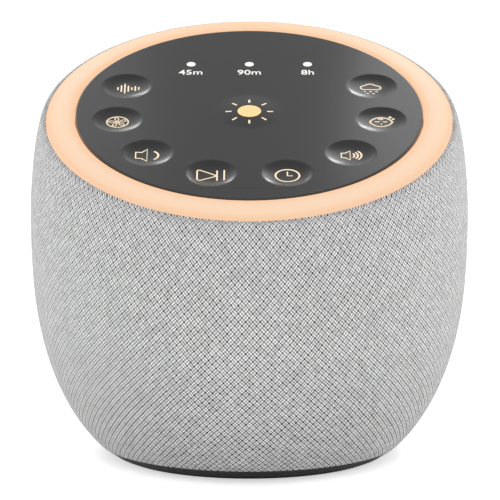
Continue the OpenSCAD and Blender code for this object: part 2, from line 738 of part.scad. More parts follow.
module board_screws() {
    color("silver") slanted(board_under) at_bosses() screw(2.1, 1.3, 1.1, board_t + 4);
}

// Processor, sound memory, amplifier, timer lamps, and the two plugs under the board
module board_chips() {
    color([0.08, 0.08, 0.08]) slanted() {
        translate([-3.5, -17.5, board_top]) cube([7, 7, 1]);
        translate([12, 4, board_top]) cube([5, 5, 1]);
        translate([-18, 4, board_top]) cube([6, 4, 1]);
        for (i = [-1:1]) translate([i * timer_pitch - 1, timer_v - 0.8, board_top]) cube([2, 1.6, 0.8]);
        translate([power_plug_x - 3, power_plug_v - 2, board_under - plug_h]) cube([6, 4, plug_h]);
        translate([-3, speaker_plug_v - 2, board_under - plug_h]) cube([6, 4, plug_h]);
    }
}

module switch_at(p) {
    translate([p[0], p[1], board_top]) {
        translate([-switch_w / 2, -switch_w / 2, 0]) cube([switch_w, switch_w, switch_h - plunger_h]);
        translate([0, 0, switch_h - plunger_h - 0.01])
            cylinder(r = plunger_r, h = plunger_h + 0.01, $fn = 32);
    }
}

module key_switches() {
    color([0.75, 0.75, 0.78]) slanted() {
        for (i = [0:7]) switch_at(key_at(i));
        switch_at([0, 0]);
    }
}

// Body of a key from its stem to its rim: the stem ends just above its switch
module key_blank(r) {
    rotate_extrude($fn = 64) polygon([[0, key_under], [key_stem_r, key_under],
        [key_stem_r, key_lip_top - key_lip_t], [r + key_lip, key_lip_top - key_lip_t],
        [r + key_lip, key_lip_top], [r, key_lip_top], [r, panel_top], [0, panel_top]]);
}

// Round key with a finger dish hollowed in its top
module dished_key(i) {
    bowl_r = (key_r * key_r + dish_depth * dish_depth) / (2 * dish_depth);
    color([0.3, 0.3, 0.295]) slanted() translate([key_at(i)[0], key_at(i)[1], 0]) difference() {
        key_blank(key_r);
        translate([0, 0, panel_top - dish_depth + bowl_r]) sphere(r = bowl_r, $fn = 128);
    }
}

module key_sound() { dished_key(0); }
module key_fan() { dished_key(1); }
module key_volume_down() { dished_key(2); }
module key_play_pause() { dished_key(3); }
module key_timer() { dished_key(4); }
module key_volume_up() { dished_key(5); }
module key_lullaby() { dished_key(6); }
module key_rain() { dished_key(7); }

// Larger key at the centre, with a slightly crowned top
module key_night_light() {
    dome_r = (spot_r * spot_r + spot_crown * spot_crown) / (2 * spot_crown);
    color([0.3, 0.3, 0.295]) slanted() {
        key_blank(spot_r);
        intersection() {
            translate([0, 0, panel_top - 0.5]) cylinder(r = spot_r, h = 3);
            translate([0, 0, panel_top + spot_crown - dome_r]) sphere(r = dome_r, $fn = 256);
        }
    }
}

// Bezel of the power inlet: its face follows the side of the body
module inlet_bezel() {
    proud = 0.15;
    steps = 16;
    color([0.12, 0.12, 0.12]) difference() {
        union() {
            intersection() {
                inlet_outline();
                rotate_extrude() polygon(concat([[0, hem_z]],
                    [for (i = [0:steps]) side_in(-1 + 0.7 * i / steps, -proud) + [0, equator_z]],
                    [[0, equator_z + side(-0.3)[1]]]));
            }
            translate([-inlet_w / 2 + 2, inlet_shelf_y, inlet_z - socket_h / 2 - board_t - inlet_shelf_t])
                cube([inlet_w - 4, bezel_y - inlet_shelf_y + 1, inlet_shelf_t]);
        }
        translate([0, outside, inlet_z]) rotate([90, 0, 0]) linear_extrude(outside - recess_y)
            rounded(recess_w, recess_h, 2);
        translate([0, outside, inlet_z]) rotate([90, 0, 0]) linear_extrude(outside)
            rounded(socket_w + 2 * fit, socket_h + 2 * fit, socket_h / 2);
        translate([-inlet_w / 2 + 1.8, 0, inlet_z - socket_h / 2 - board_t])
            cube([inlet_w - 3.6, recess_y - 1.2, board_t + fit]);
    }
}

// Socket shell with its tongue
module usb_socket() {
    wall = 0.35;
    color("silver") difference() {
        translate([0, recess_y, inlet_z]) rotate([90, 0, 0]) linear_extrude(socket_l)
            rounded(socket_w, socket_h, socket_h / 2 - 0.01);
        difference() {
            translate([0, recess_y + 1, inlet_z]) rotate([90, 0, 0]) linear_extrude(socket_l - 0.2)
                rounded(socket_w - 2 * wall, socket_h - 2 * wall, socket_h / 2 - wall - 0.01);
            translate([-3.3, recess_y - socket_l, inlet_z - 0.35]) cube([6.6, socket_l - 0.8, 0.7]);
        }
    }
}

module inlet_board() {
    color([0.1, 0.35, 0.2]) translate([-inlet_w / 2 + 2, inlet_shelf_y, inlet_z - socket_h / 2 - board_t])
        cube([inlet_w - 4, recess_y - 1.5 - inlet_shelf_y, board_t]);
}

module power_lead() { color([0.1, 0.1, 0.1]) lead(power_route); }
module speaker_lead() { color([0.6, 0.1, 0.1]) lead(speaker_route); }

foot_pad();
base_cover();
base_screws();
sound_diffuser();
speaker_deck();
grille_shell();
fabric_sleeve();
speaker_gasket();
speaker_frame();
speaker_screws();
speaker_magnet();
magnet_yoke();
speaker_cone();
voice_coil();
dust_cap();
speaker_surround();
speaker_spider();
speaker_box();
box_screws();
top_frame();
frame_screws();
led_board();
ring_leds();
reflector_ring();
light_ring();
key_panel();
timer_lights();
main_board();
board_screws();
board_chips();
key_switches();
inlet_bezel();
usb_socket();
inlet_board();
power_lead();
speaker_lead();
key_sound();
key_fan();
key_volume_down();
key_play_pause();
key_timer();
key_volume_up();
key_lullaby();
key_rain();
key_night_light();
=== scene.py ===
"""White noise sound machine: finishes, the woven sleeve, the soft-touch panel and its symbols.

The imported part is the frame. Lengths below are millimetres, as on a drawing, and MM turns them into metres.
"""

import json
import math

import bpy
from mathutils import Matrix, Vector


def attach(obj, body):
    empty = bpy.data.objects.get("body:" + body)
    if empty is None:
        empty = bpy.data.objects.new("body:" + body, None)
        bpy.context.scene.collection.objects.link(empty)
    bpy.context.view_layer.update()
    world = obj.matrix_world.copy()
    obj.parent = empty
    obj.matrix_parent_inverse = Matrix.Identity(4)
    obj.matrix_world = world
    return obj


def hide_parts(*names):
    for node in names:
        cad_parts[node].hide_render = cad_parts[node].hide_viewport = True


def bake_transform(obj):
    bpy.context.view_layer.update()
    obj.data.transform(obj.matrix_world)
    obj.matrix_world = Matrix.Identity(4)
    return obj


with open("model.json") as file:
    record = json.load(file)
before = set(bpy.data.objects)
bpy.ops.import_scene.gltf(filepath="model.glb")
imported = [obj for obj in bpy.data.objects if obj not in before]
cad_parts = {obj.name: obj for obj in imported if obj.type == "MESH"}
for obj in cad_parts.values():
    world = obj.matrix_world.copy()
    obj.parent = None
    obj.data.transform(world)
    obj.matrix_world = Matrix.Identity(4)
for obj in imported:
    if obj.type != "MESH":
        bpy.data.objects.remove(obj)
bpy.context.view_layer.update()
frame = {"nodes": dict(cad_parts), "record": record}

MM = 0.001

# Body, as in the part
BODY_R = 54.0
EQUATOR_Z = 61.3
ROOT_R = 32.8
HEM_Z = 2.8
TOP_TILT = math.radians(22.6)
RIM_R = 50.2
RIM_H = 23.7
LOW_ROUND = 1.472
LOW_DROP = 0.724
LOW_SPACING = 1.38
HIGH_DROP = 1.333
SLANT_FROM = 45.0
SLANT_TO = 16.0

# Top, as in the part
RING_RISE = 1.2
PANEL_TOP = RIM_H + RING_RISE
PANEL_R = 42.5
PANEL_T = 2.0
KEY_R = 6.3
DISH_DEPTH = 0.8
KEY_RING_R = 32.6
KEY_SHIFT = 1.2
KEY_STEP = 32.3
KEY_END_STEP = 30.5
SPOT_R = 8.8
SPOT_CROWN = 0.35
TIMER_R = 1.1
TIMER_PITCH = 14.6
TIMER_V = 24.3

# Power inlet, as in the part, and how much wider the cloth's opening for it is
INLET_Z = 13.5
INLET_W = 16.0
INLET_H = 9.6
INLET_ROUND = 2.4
INLET_CLEAR = 0.3

# Skin of the panel and keys: a dish has a flat floor, a wall and a small rounded lip
PANEL_STEPS = 256
PANEL_SOFT = 0.3
DISH_R = 6.05
DISH_LIP = 0.35
DISH_FULLNESS = 3.2
DISH_EDGE = 7.2
SPOT_EDGE = 9.6
SPOT_FULLNESS = 1.6
HOLE_STEPS = 96
CAP_STEPS = 28

# Sleeve: its rows of cells rise towards the back, and its cells are widest at WIDEST_CELL_Z
CLOTH_T = 0.9
CLOTH_COLS = 256
CLOTH_ROWS = 120
CELL_W = 1.752
CELL_H = 1.945
WIDEST_CELL_Z = 26.0
NARROWED_ABOVE = 0.000125
NARROWED_BELOW = 0.00043
ROW_TILT = 0.193
ROW_TILT_GROWTH = 0.0013
SIDE_STEPS = 2000
LIP_STEPS = 40
EDGE_STEPS = 20
LIP_FROM_H = 22.7
LIP_CORNER = (50.8, 23.45)
LIP_H = 23.5
LIP_R = 49.9

# Weave: the map is WEAVE_CELLS cells across, and the hem lies at HEM_V of its height
WEAVE_CELLS = 240.0
HEM_V = 0.2
OPENED_BELOW = 0.21
OPENED_ABOVE = 0.28
STRANDS = 2.0
NOTCH = 0.5

# Symbols and labels
LABEL_SIZE = 3.45
LABEL_BELOW = 4.4
LABEL_LIFT = 0.02
LINE = 0.42
ICON_LIFT = 0.03
ICON_LOW = 0.1
SUN_LOW = 0.45
FLATTENED = 0.25

# Studio, in metres and radians
CAMERA_AT = (0.00017, -0.8528, 0.1817)
CAMERA_DOWN = math.radians(8.72)
LENS = 249.95
HORIZON_Z = 0.4
ZENITH_Z = 1.0
HORIZON_LIGHT = 0.95
ZENITH_LIGHT = 0.35

ROOT_BODY = "housing"
KEYS = ["key_sound", "key_fan", "key_volume_down", "key_play_pause",
        "key_timer", "key_volume_up", "key_lullaby", "key_rain"]


# ---------------------------------------------------------------- shape of the body

def ease(x):
    c = max(0.0, min(1.0, x))
    return c * c * (3 - 2 * c)


def lerp(a, b, t):
    return a + (b - a) * t


def slant_at(h):
    """Slant of the section at height h above the widest one."""
    return TOP_TILT * ease((h + SLANT_FROM) / (SLANT_FROM + SLANT_TO))


def face_r(h):
    """Radius of the cloth's face at height h."""
    if h < 0:
        a = math.asin(min(1.0, (-h / EQUATOR_Z) ** (1 / LOW_DROP)))
        return ROOT_R + (BODY_R - ROOT_R) * math.cos(a) ** LOW_ROUND
    a = math.asin(min(1.0, (min(h, RIM_H) / RIM_H) ** (1 / HIGH_DROP)))
    return RIM_R + (BODY_R - RIM_R) * math.cos(a)


def centre(h):
    """Centre of the section at height h, as (y, z)."""
    low = min(h, SLANT_TO)
    front = face_r(low) if low < 0 else BODY_R
    y = face_r(low) * math.cos(slant_at(low)) - front
    z = EQUATOR_Z + low
    if h > SLANT_TO:
        lean = (face_r(SLANT_TO) - face_r(SLANT_TO - 1)) * math.cos(TOP_TILT)
        y += (h - SLANT_TO) * lean
        z += (h - SLANT_TO) * (1 + lean * math.sin(TOP_TILT)) / math.cos(TOP_TILT)
    return y, z


def place(r, h, angle):
    """Point of the section at height h, at radius r and an angle in radians round the body."""
    t = slant_at(h)
    y, z = centre(h)
    return (r * math.cos(angle), y + r * math.sin(angle) * math.cos(t), z + r * math.sin(angle) * math.sin(t))


def side(s):
    """Side curve as (radius, h): s runs from -1 at the hem through 0 at the widest to 1 at the rim."""
    if s < 0:
        hem = math.asin(((EQUATOR_Z - HEM_Z) / EQUATOR_Z) ** (1 / LOW_DROP))
        h = -EQUATOR_Z * math.sin(hem * (-s) ** LOW_SPACING) ** LOW_DROP
    else:
        h = RIM_H * math.sin(math.pi / 2 * s) ** HIGH_DROP
    return face_r(h), h


def top_matrix():
    """Frame on the panel's face: x to the right, y up the slope, z out of the panel."""
    y, z = centre(RIM_H)
    rise = PANEL_TOP - RIM_H
    origin = Vector((0, y - rise * math.sin(TOP_TILT), z + rise * math.cos(TOP_TILT))) * MM
    return Matrix.Translation(origin) @ Matrix.Rotation(TOP_TILT, 4, "X")


TOP = top_matrix()


def key_at(i):
    """Centre of key i on the panel: the steps at the two ends of the row are a little shorter."""
    last = len(KEYS) - 1
    end = -1 if i == 0 else 1 if i == last else 0
    a = math.radians(270 + (i - last / 2) * KEY_STEP + end * (KEY_END_STEP - KEY_STEP))
    return KEY_RING_R * math.cos(a), KEY_RING_R * math.sin(a) + KEY_SHIFT


# ---------------------------------------------------------------- material nodes

SOCKETS = {"specular": "Specular IOR Level"}


class Shader:
    """A material's nodes, with short calls for the maths between them."""

    def __init__(self, name):
        self.material = bpy.data.materials.new(name)
        self.material.use_nodes = True
        self.nodes = self.material.node_tree.nodes
        self.links = self.material.node_tree.links
        self.surface = self.nodes["Principled BSDF"]
        self.output = self.nodes["Material Output"]

    def put(self, socket, value):
        if isinstance(value, bpy.types.NodeSocket):
            self.links.new(value, socket)
        else:
            socket.default_value = value

    def set(self, **values):
        for name, value in values.items():
            self.put(self.surface.inputs[SOCKETS.get(name, name.replace("_", " ").title())], value)

    def math(self, operation, a, b=0.0, c=0.0):
        node = self.nodes.new("ShaderNodeMath")
        node.operation = operation
        for socket, value in zip(node.inputs, (a, b, c)):
            self.put(socket, value)
        return node.outputs[0]

    def span(self, value, low, high, to_low=0.0, to_high=1.0, smooth=False):
        node = self.nodes.new("ShaderNodeMapRange")
        node.interpolation_type = "SMOOTHSTEP" if smooth else "LINEAR"
        for socket, v in zip(node.inputs, (value, low, high, to_low, to_high)):
            self.put(socket, v)
        return node.outputs[0]

    def mix(self, share, a, b):
        node = self.nodes.new("ShaderNodeMix")
        node.data_type = "RGBA"
        self.put(node.inputs[0], share)
        self.put(node.inputs[6], a)
        self.put(node.inputs[7], b)
        return node.outputs[2]

    def coords(self):
        return self.nodes.new("ShaderNodeTexCoord").outputs["Object"]

    def noise(self, vector, scale, detail=2.0):
        node = self.nodes.new("ShaderNodeTexNoise")
        node.inputs["Scale"].default_value = scale
        node.inputs["Detail"].default_value = detail
        node.inputs["Roughness"].default_value = 0.5
        self.links.new(vector, node.inputs["Vector"])
        return node.outputs["Fac"]

    def bump(self, height, distance, strength=1.0):
        node = self.nodes.new("ShaderNodeBump")
        node.inputs["Strength"].default_value = strength
        node.inputs["Distance"].default_value = distance
        self.links.new(height, node.inputs["Height"])
        self.links.new(node.outputs["Normal"], self.surface.inputs["Normal"])


def linear(level):
    """Linear light of a channel that shows as level, from 0 to 255."""
    c = level / 255
    return c / 12.92 if c <= 0.04045 else ((c + 0.055) / 1.055) ** 2.4


def colour(r, g, b):
    return (linear(r), linear(g), linear(b), 1)


def grey(level):
    return colour(level, level, level)


def darker(shade, share):
    return tuple(c * share for c in shade[:3]) + (1,)


def moulded(name, shade, roughness, grain=1500, depth=0.00002, specular=0.5):
    """Moulded plastic or rubber: a fine even grain, and a slight change of gloss."""
    m = Shader(name)
    where = m.coords()
    fine = m.noise(where, grain, 3)
    wide = m.noise(where, 60, 2)
    m.set(base_color=m.mix(m.span(wide, 0.3, 0.7), shade, darker(shade, 0.86)))
    m.set(roughness=m.span(fine, 0.3, 0.7, roughness - 0.05, roughness + 0.05))
    m.set(specular=specular)
    m.bump(fine, depth)
    return m.material


def metal(name, shade, roughness):
    """Plated steel with faint brushing."""
    m = Shader(name)
    where = m.coords()
    scratch = m.noise(where, 2500, 2)
    m.set(base_color=m.mix(m.span(scratch, 0.3, 0.7), shade, darker(shade, 0.8)))
    m.set(metallic=1.0, roughness=m.span(scratch, 0.3, 0.7, roughness - 0.06, roughness + 0.08))
    m.bump(scratch, 0.00001)
    return m.material


def woven(name):
    """Basket weave on the bias: diamonds of two strands that take turns to run each way, and pores between."""
    m = Shader(name)
    uv = m.nodes.new("ShaderNodeUVMap")
    uv.uv_map = "weave"
    split = m.nodes.new("ShaderNodeSeparateXYZ")
    m.links.new(uv.outputs[0], split.inputs[0])
    wander = m.span(m.noise(uv.outputs[0], 14, 2), 0, 1, -0.1, 0.1)
    across = m.math("MULTIPLY_ADD", split.outputs[0], WEAVE_CELLS, wander)
    along = m.math("MULTIPLY", split.outputs[1], WEAVE_CELLS)
    a, b = m.math("ADD", across, along), m.math("SUBTRACT", across, along)
    cell_a, cell_b = m.math("FLOOR", a), m.math("FLOOR", b)
    in_a, in_b = m.math("SUBTRACT", a, cell_a), m.math("SUBTRACT", b, cell_b)
    turn = m.math("FLOORED_MODULO", m.math("ADD", cell_a, cell_b), 2.0)

    def either(first, second):
        """first where the strands run along a, second where they run along b."""
        return m.math("ADD", first, m.math("MULTIPLY", turn, m.math("SUBTRACT", second, first)))

    def chance(x, y, seed):
        """A number from 0 to 1 for each pair of whole numbers."""
        where = m.nodes.new("ShaderNodeCombineXYZ")
        m.links.new(m.math("FLOOR", x), where.inputs[0])
        m.links.new(m.math("FLOOR", y), where.inputs[1])
        where.inputs[2].default_value = seed
        node = m.nodes.new("ShaderNodeTexWhiteNoise")
        m.links.new(where.outputs[0], node.inputs["Vector"])
        return node.outputs["Value"]

    def ripple(t, power):
        """Two humps from 0 to 1."""
        return m.math("POWER", m.math("ABSOLUTE", m.math("SINE", m.math("MULTIPLY", t, STRANDS * math.pi))), power)

    lengthwise, crosswise = either(in_a, in_b), either(in_b, in_a)
    strand, notch = ripple(crosswise, 0.7), ripple(lengthwise, 0.5)
    height = m.math("MULTIPLY", m.span(strand, 0, 1, 0.15, 1.0), m.span(notch, 0, 1, 1 - NOTCH, 1.0))

    def to_corner(t):
        return m.math("SUBTRACT", 0.5, m.math("ABSOLUTE", m.math("SUBTRACT", t, 0.5)))

    def opened_out(low, high, smooth=False):
        """low near the hem, where the cloth is stretched open, and high above."""
        return m.span(split.outputs[1], OPENED_BELOW, OPENED_ABOVE, low, high, smooth)

    corner = m.math("SQRT", m.math("ADD", m.math("POWER", to_corner(in_a), 2.0),
                                   m.math("POWER", to_corner(in_b), 2.0)))
    corner = m.math("MULTIPLY", corner, opened_out(0.72, 0.97))
    pore = m.span(corner, 0.08, 0.31, 1.0, 0.0, smooth=True)
    along_a = chance(a, m.math("MULTIPLY", b, STRANDS), 0.0)
    along_b = chance(b, m.math("MULTIPLY", a, STRANDS), 7.0)
    where = m.coords()
    fuzz = m.noise(where, 2600, 2)
    tone = m.math("ADD", m.math("MULTIPLY", either(along_a, along_b), 0.6), m.math("MULTIPLY", fuzz, 0.4))
    depth = chance(m.math("ADD", a, 0.5), m.math("ADD", b, 0.5), 3.0)
    border = m.span(m.math("MINIMUM", to_corner(in_a), to_corner(in_b)), 0.03, 0.17, 1.0, 0.0, smooth=True)
    opened = m.math("MULTIPLY", border, opened_out(0.55, 0.28, smooth=True))

    spot = m.nodes.new("ShaderNodeSeparateXYZ")
    m.links.new(where, spot.inputs[0])
    behind = m.math("GREATER_THAN", spot.outputs[1], 0.0)
    beside = m.span(m.math("ABSOLUTE", spot.outputs[0]), 0.0001, 0.0006, 1.0, 0.0, smooth=True)
    seam = m.math("MULTIPLY", behind, beside)

    yarn = m.mix(tone, grey(206), grey(255))
    # Painted shade: the low parts of the strands, down between them, are darkened towards grey 58.
    yarn_in_painted_shade = m.mix(m.span(height, 0.2, 0.85), grey(58), yarn)
    # Painted shade: the pores and the open gaps near the hem are painted near black, for the dark plastic inside
    # seen through them in shade; each pore's share of it is random.
    hole = m.math("MAXIMUM", opened, m.math("MULTIPLY", pore, m.span(depth, 0, 1, 0.45, 1.0)))
    # The seam down the back is the cloth's own dark joint and shares that near black.
    m.set(base_color=m.mix(m.math("MAXIMUM", hole, m.math("MULTIPLY", seam, 0.7)), yarn_in_painted_shade, grey(20)))
    m.set(roughness=0.9, specular=0.2, sheen_weight=0.4, sheen_roughness=0.25)
    raised = m.math("MULTIPLY_ADD", fuzz, 0.2, height)
    sunk = m.math("MAXIMUM", pore, m.math("MULTIPLY", seam, 2.0))
    m.bump(m.math("SUBTRACT", raised, sunk), 0.00015, 0.7)
    return m.material


def soft_touch(name):
    """Satin dark grey skin of the panel and keys."""
    m = Shader(name)
    where = m.coords()
    fine = m.noise(where, 3500, 2)
    m.set(base_color=m.mix(m.span(m.noise(where, 25, 2), 0.3, 0.7), grey(50), grey(48)))
    m.set(roughness=m.span(fine, 0.3, 0.7, 0.24, 0.26))
    m.set(specular=0.5)
    m.bump(fine, 0.000001, 0.3)
    return m.material


def lit(name, shade, strength, depth=0.0):
    """A lit marking: its own light over a little of its colour."""
    m = Shader(name)
    where = m.coords()
    glow = m.mix(m.span(m.noise(where, 400, 2), 0.3, 0.7), shade, darker(shade, 1 - depth))
    m.set(base_color=darker(shade, 0.15), emission_color=glow, emission_strength=strength, roughness=0.6)
    return m.material


def glowing_ring(name):
    """Milky plastic lit from below: palest in the middle of its width, warmer at both edges and behind, and
    painted dark brown at its inner edge as a painted shadow of the gap beside the panel.
    """
    m = Shader(name)
    turn = m.nodes.new("ShaderNodeMapping")
    turn.vector_type = "TEXTURE"
    turn.inputs["Location"].default_value = TOP.to_translation()
    turn.inputs["Rotation"].default_value = (TOP_TILT, 0, 0)
    m.links.new(m.coords(), turn.inputs["Vector"])
    split = m.nodes.new("ShaderNodeSeparateXYZ")
    m.links.new(turn.outputs[0], split.inputs[0])
    flat = m.math("SQRT", m.math("ADD", m.math("POWER", split.outputs[0], 2.0),
                                 m.math("POWER", split.outputs[1], 2.0)))
    share = m.span(flat, PANEL_R * MM, RIM_R * MM)
    ramp = m.nodes.new("ShaderNodeValToRGB")
    # The first two colours paint the inner edge dark brown: a painted shadow of the gap at the panel's edge.
    glow_and_gap_shadow = [(0.0, (60, 30, 20)), (0.03, (74, 38, 24)), (0.045, (254, 204, 163)), (0.15, (253, 208, 169)),
             (0.3, (250, 217, 188)), (0.5, (252, 220, 191)), (0.7, (252, 218, 186)), (0.88, (250, 209, 174)),
             (1.0, (248, 202, 162))]
    ramp.color_ramp.elements.remove(ramp.color_ramp.elements[1])
    for i, (at, shade) in enumerate(glow_and_gap_shadow):
        stop = ramp.color_ramp.elements[0] if i == 0 else ramp.color_ramp.elements.new(at)
        stop.position = at
        stop.color = colour(*shade)
    m.links.new(share, ramp.inputs[0])
    behind = m.span(split.outputs[1], 0.025, 0.045, 0.0, 0.7)
    m.set(emission_color=m.mix(behind, ramp.outputs[0], colour(252, 210, 172)), emission_strength=0.95)
    m.set(base_color=colour(60, 40, 28), roughness=0.5, specular=0.1)
    return m.material


# ---------------------------------------------------------------- modelling helpers

def deselect():
    if bpy.context.object and bpy.context.object.mode != "OBJECT":
        bpy.ops.object.mode_set(mode="OBJECT")
    bpy.ops.object.select_all(action="DESELECT")


def pick(obj):
    deselect()
    obj.select_set(True)
    bpy.context.view_layer.objects.active = obj


def finish_piece(obj, name, material, body, smooth=35):
    """Names a finished mesh, gives it its material, smooths it, and hangs it on its body when it is given one."""
    obj.name = name
    obj.data.name = name
    obj.data.materials.clear()
    obj.data.materials.append(material)
    pick(obj)
    bpy.ops.object.shade_smooth_by_angle(angle=math.radians(smooth))
    if body:
        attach(obj, body)


def spun(profile, steps):
    """Solid of revolution about Z from a profile of (r, z) in millimetres that starts and ends on the axis."""
    mesh = bpy.data.meshes.new("profile")
    points = [(r * MM, 0, z * MM) for r, z in profile]
    mesh.from_pydata(points, [(i, i + 1) for i in range(len(points) - 1)], [])
    obj = bpy.data.objects.new("profile", mesh)
    bpy.context.collection.objects.link(obj)
    pick(obj)
    bpy.ops.object.mode_set(mode="EDIT")
    bpy.ops.mesh.select_all(action="SELECT")
    bpy.ops.mesh.spin(steps=steps, angle=2 * math.pi, center=(0, 0, 0), axis=(0, 0, 1))
    bpy.ops.mesh.select_all(action="SELECT")
    bpy.ops.mesh.remove_doubles(threshold=1e-6)
    bpy.ops.mesh.normals_make_consistent(inside=False)
    bpy.ops.object.mode_set(mode="OBJECT")
    return obj


def set_on_top(obj, x=0.0, v=0.0, h=0.0):
    """Puts a mesh that was made at the origin on the panel's face."""
    obj.data.transform(TOP @ Matrix.Translation(Vector((x, v, h)) * MM))


def joined(objects):
    """One object made of several."""
    pick(objects[0])
    for o in objects:
        o.select_set(True)
    if len(objects) > 1:
        bpy.ops.object.join()
    return bpy.context.object


def boolean_cut(obj, cutter):
    """Cuts a shape out of a mesh and throws the cutter away."""
    pick(obj)
    cut = obj.modifiers.new("cut", "BOOLEAN")
    cut.operation = "DIFFERENCE"
    cut.solver = "EXACT"
    cut.object = cutter
    bpy.ops.object.modifier_apply(modifier="cut")
    bpy.data.objects.remove(cutter, do_unlink=True)


# ---------------------------------------------------------------- sleeve

def cloth_rows():
    """Places along the side as (radius, h, run): evenly spaced, over the rim and down to the cloth's edge."""
    fine = [side(-1 + 2 * i / SIDE_STEPS) for i in range(SIDE_STEPS + 1)]
    fine = [(r, h) for r, h in fine if h < LIP_FROM_H]
    start, corner, end = fine[-1], LIP_CORNER, (LIP_R, LIP_H)
    for i in range(1, LIP_STEPS + 1):
        t = i / LIP_STEPS
        fine.append(tuple(lerp(lerp(a, b, t), lerp(b, c, t), t) for a, b, c in zip(start, corner, end)))
    fine += [(LIP_R, LIP_H - CLOTH_T * i / EDGE_STEPS) for i in range(1, EDGE_STEPS + 1)]
    run = [0.0]
    for (r0, h0), (r1, h1) in zip(fine, fine[1:]):
        run.append(run[-1] + math.hypot(r1 - r0, h1 - h0))
    rows = []
    k = 0
    for i in range(CLOTH_ROWS + 1):
        want = run[-1] * i / CLOTH_ROWS
        while k < len(run) - 2 and run[k + 1] < want:
            k += 1
        t = (want - run[k]) / max(1e-9, run[k + 1] - run[k])
        rows.append((lerp(fine[k][0], fine[k + 1][0], t), lerp(fine[k][1], fine[k + 1][1], t), want))
    return rows


def row_level(y, z):
    """Level of the row of cells through a place: the rows rise towards the back, the high ones more steeply."""
    return (z - y * ROW_TILT) / (1 + y * ROW_TILT_GROWTH)


def front_line(rows):
    """Up the middle of the front, as (row level, length of cloth from the hem)."""
    line = []
    for r, h, _ in rows:
        x, y, z = place(r, h, -math.pi / 2)
        length = line[-1][1] + math.hypot(y - line[-1][2], z - line[-1][3]) if line else 0.0
        line.append((row_level(y, z), length, y, z))
        if h > 0 and r <= LIP_R:
            break
    return [(level, length) for level, length, _, _ in line]


def cloth_length(line, level):
    """Length of cloth from the hem to a row, read off the front and carried on above and below it."""
    if level <= line[0][0]:
        return level - line[0][0]
    for (w0, n0), (w1, n1) in zip(line, line[1:]):
        if level <= w1:
            return lerp(n0, n1, (level - w0) / (w1 - w0))
    return line[-1][1] + level - line[-1][0]


def cell_width(z):
    """Width of one cell of the weave at a height: the cloth is pulled narrower above and below."""
    narrowed = NARROWED_ABOVE if z > WIDEST_CELL_Z else NARROWED_BELOW
    return CELL_W - narrowed * (z - WIDEST_CELL_Z) ** 2


def make_sleeve():
    """Woven sleeve: a loft of the body's sections, with its weave laid out from the middle of the front.

    Cut flat it is a band as long as the body is round, and smaller in area, because the body narrows.
    """
    rows = cloth_rows()
    line = front_line(rows)
    bpy.ops.mesh.primitive_grid_add(x_subdivisions=CLOTH_COLS, y_subdivisions=CLOTH_ROWS, size=1, calc_uvs=True)
    obj = bpy.context.object
    mesh = obj.data
    mesh.uv_layers[0].name = "weave"
    spots = [(v.co.x + 0.5, v.co.y + 0.5) for v in mesh.vertices]
    cloth = []
    for v, (u, w) in zip(mesh.vertices, spots):
        r, h, _ = rows[round(w * CLOTH_ROWS)]
        x, y, z = place(r, h, math.radians(90 + 360 * u))
        v.co = Vector((x, y, z)) * MM
        across = math.radians(360 * (u - 0.5)) * r / cell_width(place(r, h, -math.pi / 2)[2])
        along = cloth_length(line, row_level(y, z)) / CELL_H
        cloth.append((0.5 + across / WEAVE_CELLS, HEM_V + along / WEAVE_CELLS))
    layer = mesh.uv_layers["weave"].data
    for loop in mesh.loops:
        layer[loop.index].uv = cloth[loop.vertex_index]
    pick(obj)
    bpy.ops.object.mode_set(mode="EDIT")
    bpy.ops.mesh.select_all(action="SELECT")
    bpy.ops.mesh.remove_doubles(threshold=1e-6)
    bpy.ops.mesh.normals_make_consistent(inside=False)
    bpy.ops.object.mode_set(mode="OBJECT")
    outward = sum(p.normal.dot(Vector((p.center.x, p.center.y, 0))) for p in mesh.polygons)
    if outward < 0:
        mesh.flip_normals()
    wall = obj.modifiers.new("wall", "SOLIDIFY")
    wall.thickness = CLOTH_T * MM
    wall.offset = -1
    bpy.ops.object.modifier_apply(modifier="wall")
    boolean_cut(obj, inlet_cutter())
    finish_piece(obj, "woven_sleeve", woven("woven_grey_cloth"), ROOT_BODY, 50)
    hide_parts("fabric_sleeve")


def inlet_cutter():
    """Bar with the rounded outline of the power inlet."""
    bpy.ops.mesh.primitive_cube_add(size=1, location=(0, 60 * MM, INLET_Z * MM))
    bar = bpy.context.object
    bar.scale = ((INLET_W + INLET_CLEAR) * MM, 45 * MM, (INLET_H + INLET_CLEAR) * MM)
    bpy.ops.object.transform_apply(location=True, scale=True)
    pick(bar)
    bpy.ops.object.mode_set(mode="EDIT")
    bpy.ops.mesh.select_all(action="DESELECT")
    bpy.ops.object.mode_set(mode="OBJECT")
    for edge in bar.data.edges:
        a, b = (bar.data.vertices[i].co for i in edge.vertices)
        edge.select = abs(a.y - b.y) > 1e-3
    bpy.ops.object.mode_set(mode="EDIT")
    bpy.ops.mesh.select_mode(type="EDGE")
    bpy.ops.mesh.bevel(offset=INLET_ROUND * MM, segments=8, affect="EDGES")
    bpy.ops.object.mode_set(mode="OBJECT")
    return bar


# ---------------------------------------------------------------- panel and keys

def dish_height(r):
    """Height of a finger dish below the panel, at radius r."""
    lip = DISH_LIP
    edge = DISH_R + lip / 2
    if r >= edge:
        return 0.0
    wall = -DISH_DEPTH * (1 - (min(r, edge - lip) / DISH_R) ** DISH_FULLNESS)
    if r <= edge - lip:
        return wall
    t = (edge - r) / lip
    return wall * t * t * (3 - 2 * t)


def spot_height(r):
    """Height of the domed night light key above the panel, at radius r."""
    t = min(1.0, r / SPOT_R)
    return SPOT_CROWN * (1 - t * t) ** SPOT_FULLNESS


